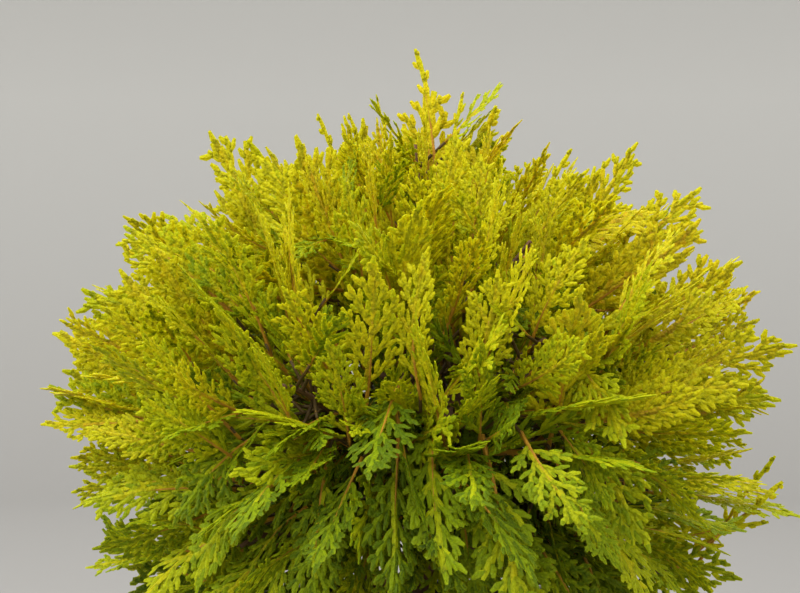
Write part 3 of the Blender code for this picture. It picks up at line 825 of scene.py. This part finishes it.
def inner_sprays(stem, crown, patterns, rule):
    """Short sprays that leave a stem directly, all round it and forward."""
    found = []
    for index in range(crown.inner):
        place = int((0.02 + 0.9 * (index + rule.random()) / crown.inner) * (len(stem) - 1))
        along = unit(stem[min(place + 1, len(stem) - 1)] - stem[max(place - 1, 0)])
        sideways = unit(np.cross(along, rule.normal(size=3)))
        direction = unit(along * 0.55 + sideways * 0.84)
        root = stem[place] + direction * rule.uniform(0.004, 0.012)
        length = crown.length * rule.uniform(0.5, 0.7)
        kind = "medium" if root[2] > crown.centre + 0.03 else "plain"
        # Their tints are low and lowest below the crown's middle: painted shade inside the crown, over the
        # inner leaves' own greener colour.
        found.append(spray_row(
            stem[place], root, direction, rule.uniform(0, math.pi), length, pick(patterns[kind], rule), rule,
            tint=1.0 + 1.4 * np.clip((root[2] - 0.22) / 0.08, 0, 1) + rule.normal(0, 0.5),
        ))
    return found


def branch_line(start, heading, length, pitch, turn, climb):
    """A branchlet's line: equal steps whose heading in the plane goes from the first by an even turn, and which
    climb evenly out of the plane."""
    steps = max(2, round(length / pitch))
    angle = heading + turn * np.linspace(0, 1, steps)
    moves = np.stack([np.cos(angle), np.sin(angle), np.full(steps, climb)], -1) * length / steps
    return np.concatenate([[start], start + np.cumsum(moves, 0)])


def branchlet(line, width):
    """A flat scaly branchlet: each station is a rhombus, 0.36 as thick as it is wide. Its width swells and
    shrinks from leaf pair to leaf pair, is less at the foot and blunt at the tip."""
    count = len(line)
    along = unit(np.gradient(line[:, :2], axis=0))
    across = np.stack([-along[:, 1], along[:, 0], np.zeros(count)], -1)
    swell = np.where(np.arange(count) % 2, 1.12, 0.88)[:, None]
    swell[0], swell[-1] = 0.75, 0.55
    half, ridge = across * swell * width / 2, UP * swell * width * 0.18
    return skin(np.stack([line - half, line - ridge, line + half, line + ridge], 1))


def spray_pattern(branches, pitch, finger_gap, width, reach, rule):
    """One flat spray of unit length along +X: an axis, side branches left and right in turn that first grow and
    then shrink as a sine, and fingers on them that point forward. Gives points, faces, and for each face how
    much more golden it is than the spray: most on the axis and on the branches' feet."""
    parts, golden = [], []

    def add(line, size, gold):
        foot_gold, tip_gold = gold
        points, faces = branchlet(line, size)
        parts.append((points, faces))
        share = faces.min(1) / len(points)
        golden.append(foot_gold + (tip_gold - foot_gold) * share + rule.normal(0, GOLD_SCATTER))

    steps = np.arange(BARE_AXIS, 1.0, pitch)
    wave = AXIS_WAVE * np.sin(steps * AXIS_WAVES + rule.uniform(0, 6))
    axis = np.column_stack([steps, wave, np.zeros(len(steps))])
    add(axis, width * 1.05, FAN_AXIS_GOLD if finger_gap else SLIM_AXIS_GOLD)
    for index in range(branches):
        share = (index + 0.5) / branches
        along = FIRST_BRANCH + (LAST_BRANCH - FIRST_BRANCH) * share
        side = 1 if index % 2 else -1
        outline = math.sin(math.pi * (0.26 + 0.68 * share)) * (1 - 0.25 * share)
        length = reach * outline * rule.uniform(0.8, 1.12)
        heading = side * math.radians(rule.uniform(*BRANCH_ANGLE) - BRANCH_ANGLE_FALL * share)
        turn = -side * math.radians(rule.uniform(*BRANCH_TURN))
        foot = np.array([along, AXIS_WAVE * math.sin(along * AXIS_WAVES), 0])
        line = branch_line(foot, heading, length, pitch, turn, rule.normal(0, 0.06))
        add(line, width, BRANCH_GOLD)
        fingers = 0 if finger_gap is None else int(0.8 * length / finger_gap)
        for finger in range(fingers):
            place = 0.2 + 0.72 * (finger + 0.5) / fingers
            start = line[int(place * (len(line) - 1))]
            away = side if finger % 2 else -side
            finger_length = (0.075 + 0.065 * (1 - place)) * rule.uniform(0.85, 1.15)
            finger_heading = heading + turn * place + away * math.radians(rule.uniform(*FINGER_ANGLE))
            bend = -away * math.radians(FINGER_TURN)
            finger_line = branch_line(start, finger_heading, finger_length, pitch, bend, rule.normal(0, 0.08))
            add(finger_line, width * 0.92, FINGER_GOLD)
    points, faces = joined(parts)
    return points, faces, np.concatenate(golden)


def make_patterns(rule):
    """All the variants of each kind of spray."""
    made = {}
    for kind, (variants, *sizes) in PATTERNS.items():
        made[kind] = [spray_pattern(*sizes, rule) for _ in range(variants)]
    return made


def column(rows, key):
    """One value of every row, as a column."""
    return np.array([row[key] for row in rows], float)


def placed(points, rows):
    """A pattern's points (x along, y across, z up) at every row's place. y is scaled by the breadth and moved
    by side * x * x, z falls by cup * y * y, the plane turns by twist * x about X, and the length curls
    through the bend as an arc whose chord keeps the row's direction."""
    x, y, z = (points[None, :, axis] for axis in range(3))
    grow = {key: column(rows, key)[:, None] for key in ("length", "breadth", "side", "cup", "twist", "bend")}
    y = y * grow["breadth"] + grow["side"] * x * x
    z = z - grow["cup"] * y * y
    turn = grow["twist"] * x
    y, z = spun(y, z, turn)
    bend = np.where(np.abs(grow["bend"]) < 1e-3, 1e-3, grow["bend"])
    angle = bend * x
    curled = np.sin(angle) / bend - z * np.sin(angle)
    raised = (1 - np.cos(angle)) / bend + z * np.cos(angle)
    half = bend / 2
    along = (curled * np.cos(half) + raised * np.sin(half)) * grow["length"]
    above = (raised * np.cos(half) - curled * np.sin(half)) * grow["length"]
    beside = y * grow["length"]
    root, direction, normal = (column(rows, key) for key in ("root", "direction", "normal"))
    across = np.cross(normal, direction)
    world = root[:, None] + along[..., None] * direction[:, None]
    return world + beside[..., None] * across[:, None] + above[..., None] * normal[:, None]


def spray_surface(rows, patterns, tints):
    """The sprays of a mass as one surface, with each face's tint: the spray's own, plus the pattern's gold."""
    surfaces, colours = [], []
    for points, faces, golden in (pattern for kind in patterns.values() for pattern in kind):
        chosen = [row for row in rows if row["pattern"][0] is points]
        if not chosen:
            continue
        surfaces.append(repeated(placed(points, chosen), faces))
        own = column(chosen, "tint")[:, None] + golden
        colours.append(np.clip(np.round(own), 0, tints - 1).ravel())
    return joined(surfaces), np.concatenate(colours)


def twig_path(row):
    """A twig's line: a quadratic curve from its fork that arrives along the spray, then on into its base."""
    fork, root, direction = row["fork"], row["root"], row["direction"]
    handle = root - direction * np.linalg.norm(root - fork) * 0.35
    share = np.linspace(0, 1, 7)[:, None]
    curve = fork * (1 - share) ** 2 + handle * 2 * share * (1 - share) + root * share**2
    return np.concatenate([curve, root[None] + direction * 0.004])


def wall_radius(height, pot):
    """The pot's outer radius at a height, without its lip and band."""
    return pot.base + (pot.neck - pot.base) * height / pot.height


class AddPot(bpy.types.Operator):
    """Adds the pot: a fine turned wall with a rolled lip, a stepped band and drain holes cut round its foot."""

    bl_idname = "arborvitae.add_pot"
    bl_label = "Pot"

    def execute(self, context):
        pot = context.scene.pot_settings
        lip, band, step = pot.height - 0.012, pot.height - 0.034, 0.0012
        corners = [
            (0.001, pot.floor),
            (wall_radius(pot.floor, pot) - pot.wall, pot.floor),
            (pot.neck - pot.wall, pot.height - 0.001),
            (pot.neck - pot.wall * 0.4, pot.height),
            (pot.rim, pot.height),
            (pot.rim, lip),
            (pot.neck + step, lip),
            (wall_radius(band, pot) + step, band + step),
            (wall_radius(band, pot), band - step),
            (wall_radius(0.002, pot), 0.002),
            (pot.base - 0.002, 0),
            (0.001, 0),
        ]
        surface = turned(rounded(corners, step), 144)
        finish = plastic_finish("pot_plastic", pot.plastic)
        piece = add_piece("nursery_pot", surface, [finish], ["pot"])
        cut_drain_holes(piece, pot)
        return {"FINISHED"}


def cut_drain_holes(piece, pot):
    """Cuts the drain holes: round drills that go straight out through the wall's foot."""
    radius, height, reach = 0.0055, 0.0045, pot.base + np.array([-0.006, 0.006])
    angle = np.linspace(0, 2 * np.pi, 20, endpoint=False)
    drills = []
    for index in range(pot.holes):
        turn = 2 * np.pi * (index + 0.5) / pot.holes
        outwards = np.array([math.cos(turn), math.sin(turn), 0])
        beside = np.array([-math.sin(turn), math.cos(turn), 0])
        ring = beside * np.cos(angle)[:, None] * radius + UP * (np.sin(angle)[:, None] * radius + height)
        drills.append(skin(outwards * reach[:, None, None] + ring[None]))
    mesh = bpy.data.meshes.new("drain_drills")
    points, faces = joined(drills)
    mesh.from_pydata(points.tolist(), [], faces.tolist())
    cutter = bpy.data.objects.new("drain_drills", mesh)
    bpy.context.scene.collection.objects.link(cutter)
    drill = piece.modifiers.new("Drain holes", "BOOLEAN")
    drill.operation = "DIFFERENCE"
    drill.object = cutter
    bpy.context.view_layer.update()
    cut = bpy.data.meshes.new_from_object(piece.evaluated_get(bpy.context.evaluated_depsgraph_get()))
    piece.modifiers.clear()
    piece.data = cut
    cut.set_sharp_from_angle(angle=math.radians(35))
    bpy.data.objects.remove(cutter)


class AddPottingMix(bpy.types.Operator):
    """Adds the potting mix, bark chips that lie on it and a few pale grains."""

    bl_idname = "arborvitae.add_potting_mix"
    bl_label = "Potting mix"

    def execute(self, context):
        pot = context.scene.pot_settings
        rule = np.random.default_rng(5)
        edge = pot.neck - pot.wall - 0.0022
        foot = pot.base - pot.wall
        across = np.linspace(0.002, edge, 40)
        top = np.column_stack([across, pot.soil - 0.004 * (across / edge) ** 4])
        profile = np.concatenate([top, [[foot, pot.floor + 0.0004], [0.002, pot.floor + 0.0004]]])
        points, faces = turned(profile, 120)
        away = np.hypot(points[:, 0], points[:, 1])
        upper = points[:, 2] > pot.soil - 0.006
        rough = crumble(points[:, :2], rule) * 0.0012 * np.clip((edge - away) / 0.01, 0, 1)
        points[:, 2] += np.where(upper, rough, 0)
        add_piece("potting_mix_bed", (points, faces), [mix_finish("potting_mix", pot.mix, 1.8)],
                  ["potting_mix"])
        bark, grain = (0.0032, 0.0016, 0.0009), (0.0011, 0.0010, 0.0008)
        loose = (
            ("bark_chips", pot.chips, bark, mix_finish("chips", (0.085, 0.045, 0.022), 1.7)),
            ("pale_grains", pot.chips // 6, grain, mix_finish("grains", (0.55, 0.53, 0.48), 1.15)),
        )
        for name, pieces, half_sizes, finish in loose:
            chips = scattered_chips(pieces, edge - 0.003, pot.soil, half_sizes, rule)
            add_piece(name, chips, [finish], ["potting_mix"], flat=True)
        return {"FINISHED"}


def crumble(places, rule):
    """An uneven height from -1 to 1: the mean of many plane waves of random heading and length."""
    headings = rule.uniform(0, 2 * np.pi, 40)
    waves = rule.uniform(180, 1100, 40)
    phases = rule.uniform(0, 2 * np.pi, 40)
    along = places @ np.stack([np.cos(headings), np.sin(headings)])
    return np.sin(along * waves + phases).sum(1) / 6


def scattered_chips(count, reach, level, half_sizes, rule):
    """Small six-sided lumps with uneven corners, turned at random and lying in the top of the mix."""
    cube = np.array([[x, y, z] for x in (-1, 1) for y in (-1, 1) for z in (-1, 1)], float)
    sides = [(0, 1, 3, 2), (4, 6, 7, 5), (0, 4, 5, 1), (2, 3, 7, 6), (0, 2, 6, 4), (1, 5, 7, 3)]
    faces = np.array([triangle for a, b, c, d in sides for triangle in ((a, b, c), (a, c, d))])
    corners = cube[None] * rule.uniform(0.6, 1.1, (count, 8, 3)) * np.array(half_sizes)
    corners *= rule.uniform(0.5, 1.5, count)[:, None, None]
    turn = rule.uniform(0, 2 * np.pi, count)
    tilt = rule.normal(0, 0.3, count)
    x, y, z = corners[..., 0], corners[..., 1], corners[..., 2]
    x, z = spun(x, z, tilt[:, None])
    x, y = spun(x, y, turn[:, None])
    away = reach * np.sqrt(rule.uniform(0.02, 1, count))
    heading = rule.uniform(0, 2 * np.pi, count)
    x += (away * np.cos(heading))[:, None]
    y += (away * np.sin(heading))[:, None]
    z += (level - 0.004 * (away / reach) ** 4 + rule.uniform(0, 0.0012, count))[:, None]
    points, faces = repeated(np.stack([x, y, z], -1), faces)
    return points, outward(points, faces)


def bark_relief(count, sides, strands, depth, rule):
    """Long strands: sines of several whole numbers of turns round the limb, whose phases drift along it."""
    angle = np.linspace(0, 2 * np.pi, sides, endpoint=False)
    along = np.linspace(0, 1, count)[:, None]
    relief = np.zeros((count, sides))
    for turns in strands:
        drift = rule.uniform(1, 4) * np.sin(along * rule.uniform(4, 14) + rule.uniform(0, 6))
        relief += np.sin(turns * angle + drift + rule.uniform(0, 6)) / len(strands)
    return relief * depth + rule.normal(0, depth * 0.15, (count, sides))


class AddBark(bpy.types.Operator):
    """Adds the trunk and the boughs with the relief of fibrous bark."""

    bl_idname = "arborvitae.add_bark"
    bl_label = "Trunk and boughs"

    def execute(self, context):
        trunk = context.scene.trunk_settings
        rule = np.random.default_rng(3)
        finish = bark_finish("bark", trunk.bark, 900)
        heights = trunk.foot + (trunk.top - trunk.foot) * np.linspace(0, 1, 110) ** 1.2
        path = trunk_point(heights, trunk)
        path[0, :2] = path[1, :2]
        relief = bark_relief(len(path), 40, (5, 8, 11, 17), 0.09, rule)
        radii = trunk_radius(heights, trunk)
        surface, straight = barked(path, radii, 40, relief)
        add_piece("trunk_bark", surface, [finish], ["trunk"], straight=straight)
        limbs, straights = [], []
        for mass in make_masses(trunk, context.scene.crown_settings):
            if mass["bough"] is None:
                continue
            path = mass["bough"]
            share = np.linspace(0, 1, len(path))
            radii = trunk.bough_foot * (1 - share) + trunk.bough_tip * share
            radii += 0.0012 * np.exp(-((np.linalg.norm(path - path[1], axis=1) / 0.003) ** 2))
            relief = bark_relief(len(path), 14, (3, 5), 0.07, rule)
            surface, straight = barked(path, radii, 14, relief)
            limbs.append(surface)
            straights.append(straight)
        straight = np.concatenate(straights)
        add_piece("bough_bark", joined(limbs), [finish], nodes_named("bough"), straight=straight)
        return {"FINISHED"}


class AddSprays(bpy.types.Operator):
    """Adds the stems, the twigs, the axes of the sprays and the sprays of scale leaves, mass by mass."""

    bl_idname = "arborvitae.add_sprays"
    bl_label = "Twigs and sprays"

    def execute(self, context):
        scene = context.scene
        trunk, crown, leaf = scene.trunk_settings, scene.crown_settings, scene.leaf_settings
        patterns = make_patterns(np.random.default_rng(crown.seed + 1))
        masses, grown = grow_crown(trunk, crown, scene.pot_settings, patterns)
        tints = [leaf_finish(name, getattr(leaf, name)) for name in leaf.__annotations__]
        for mass, rows in zip(masses, grown):
            surface, colours = spray_surface(rows, patterns, len(tints))
            name, slot = mass["name"], f"foliage_{mass['tier']}"
            add_piece(f"sprays_{name}", surface, tints, [f"foliage_{name}"], colours, flat=True)
        add_stems(masses, trunk)
        add_twigs(grown, trunk)
        add_axes(grown, trunk)
        return {"FINISHED"}


def add_stems(masses, trunk):
    """The stems, each on from its bough's end, as one piece."""
    stems, straights = [], []
    for mass in masses:
        path = mass["stem"]
        share = np.linspace(0, 1, len(path))
        radii = trunk.bough_tip * (1 - share) + trunk.stem_tip * share
        surface, straight = barked(path, radii, 9)
        stems.append(surface)
        straights.append(straight)
    finish = bark_finish("stem_bark", trunk.bark, 1200)
    straight = np.concatenate(straights)
    add_piece("stems", joined(stems), [finish], nodes_named("foliage"), straight=straight)


def add_twigs(grown, trunk):
    """Every twig from its fork into its spray's base, as one piece."""
    twigs = []
    for rows in grown:
        for row in rows:
            path = twig_path(row)
            share = np.linspace(0, 1, len(path))
            twigs.append(tube(path, trunk.twig_radius * (1.1 - 0.2 * share), 5))
    add_piece("twigs", joined(twigs), [twig_finish("twig_wood", trunk.wood)], nodes_named("foliage"))


def add_axes(grown, trunk):
    """The golden axis of every spray, a four-sided taper that shows on both faces."""
    share = np.linspace(0, 1, 9)
    line = np.column_stack([share * 0.65 - 0.03, 0 * share, 0 * share])
    points, faces = tube(line, 0.018 * (1 - 0.7 * share), 4)
    rows = [row for mass_rows in grown for row in mass_rows]
    surface = repeated(placed(points, rows), faces)
    add_piece("spray_axes", surface, [twig_finish("axis_wood", trunk.axis)], nodes_named("foliage"))


class AddStudio(bpy.types.Operator):
    """Adds a plain pale sweep, soft light and the camera."""

    bl_idname = "arborvitae.add_studio"
    bl_label = "Studio"

    def execute(self, context):
        studio = context.scene.studio_settings
        add_bowl(studio)
        add_light("softbox", (-1.3, -1.1, 2.0), 1.8, studio.key_power, context.scene.crown_settings.centre)
        world = bpy.data.worlds.new("soft_light")
        context.scene.world = world
        world.use_nodes = True
        background = world.node_tree.nodes["Background"]
        background.inputs["Color"].default_value = (1.0, 0.99, 0.97, 1)
        background.inputs["Strength"].default_value = studio.fill
        context.scene.view_settings.view_transform = "Standard"
        add_camera(studio, context.scene.crown_settings.centre)
        return {"FINISHED"}


def add_bowl(studio):
    """Floor and backdrop in one round sheet about the plant: flat, then a quarter circle, then straight up."""
    turn = np.linspace(0, np.pi / 2, 24)
    flat, bow, top, under = 1.9, 0.8, 1.5, 0.0004
    curve = np.stack([flat + bow * np.sin(turn), bow - bow * np.cos(turn)], -1)
    profile = np.concatenate([[[0.002, 0]], [[0.7, 0]], curve, [[flat + bow, top]]])
    angle = np.linspace(0, 2 * np.pi, 96, endpoint=False)
    circle = np.stack([np.cos(angle), np.sin(angle)], -1)
    heights = np.broadcast_to(profile[:, 1:, None] - under, (len(profile), len(angle), 1))
    rings = np.concatenate([profile[:, :1, None] * circle, heights], -1)
    here = np.arange(len(angle))
    following = (here + 1) % len(angle)
    row = np.arange(len(profile) - 1)[:, None] * len(angle)
    faces = np.stack([row + here, row + len(angle) + here, row + len(angle) + following, row + following], -1)
    middle = [list(here[::-1])]
    mesh = bpy.data.meshes.new("bowl")
    mesh.from_pydata(rings.reshape(-1, 3).tolist(), [], faces.reshape(-1, 4).tolist() + middle)
    mesh.materials.append(paper_finish("paper", studio.floor, studio.wall))
    mesh.shade_smooth()
    bowl = bpy.data.objects.new("bowl", mesh)
    bpy.context.scene.collection.objects.link(bowl)


def add_light(name, place, size, power, height):
    """A square soft light that faces the crown."""
    light = bpy.data.lights.new(name, "AREA")
    light.size = size
    light.energy = power
    lamp = bpy.data.objects.new(name, light)
    lamp.location = place
    aim = unit(np.array([0, 0, height]) - np.array(place))
    lamp.rotation_euler = (math.acos(-aim[2]), 0, math.atan2(aim[1], aim[0]) - math.pi / 2)
    bpy.context.scene.collection.objects.link(lamp)


def add_camera(studio, height):
    """The camera in front of the crown, a little above it, framed on a point up and left of its centre."""
    rise = studio.elevation
    back = np.array([0, -math.cos(rise), math.sin(rise)])
    target = UP * (height + studio.aim_up) - np.array([studio.aim_left, 0, 0])
    data = bpy.data.cameras.new("camera")
    data.sensor_width = 36
    data.lens = data.sensor_width * studio.distance / studio.view_width
    camera = bpy.data.objects.new("camera", data)
    camera.location = target + back * studio.distance
    camera.rotation_euler = (math.pi / 2 - rise, 0, 0)
    bpy.context.scene.collection.objects.link(camera)
    bpy.context.scene.camera = camera


class ArborvitaePanel(bpy.types.Panel):
    """The plant's pieces and their settings."""

    bl_idname = "VIEW3D_PT_arborvitae"
    bl_label = "Globe arborvitae"
    bl_space_type = "VIEW_3D"
    bl_region_type = "UI"
    bl_category = "Arborvitae"

    def draw(self, context):
        for operator in OPERATORS:
            self.layout.operator(operator.bl_idname)
        for name, group in SETTINGS.items():
            box = self.layout.box()
            for key in group.__annotations__:
                box.prop(getattr(context.scene, name), key)


SETTINGS = {
    "trunk_settings": TrunkSettings,
    "crown_settings": CrownSettings,
    "leaf_settings": LeafSettings,
    "pot_settings": PotSettings,
    "studio_settings": StudioSettings,
}
OPERATORS = (AddPot, AddPottingMix, AddBark, AddSprays, AddStudio)


def register():
    for group in SETTINGS.values():
        bpy.utils.register_class(group)
    for name, group in SETTINGS.items():
        setattr(bpy.types.Scene, name, PointerProperty(type=group))
    for made in (*OPERATORS, ArborvitaePanel):
        bpy.utils.register_class(made)


def unregister():
    for made in (ArborvitaePanel, *OPERATORS):
        bpy.utils.unregister_class(made)
    for name in SETTINGS:
        delattr(bpy.types.Scene, name)
    for group in SETTINGS.values():
        bpy.utils.unregister_class(group)


def main():
    register()
    bpy.ops.arborvitae.add_pot()
    bpy.ops.arborvitae.add_potting_mix()
    bpy.ops.arborvitae.add_bark()
    bpy.ops.arborvitae.add_sprays()
    bpy.ops.arborvitae.add_studio()


if __name__ == "__main__":
    main()
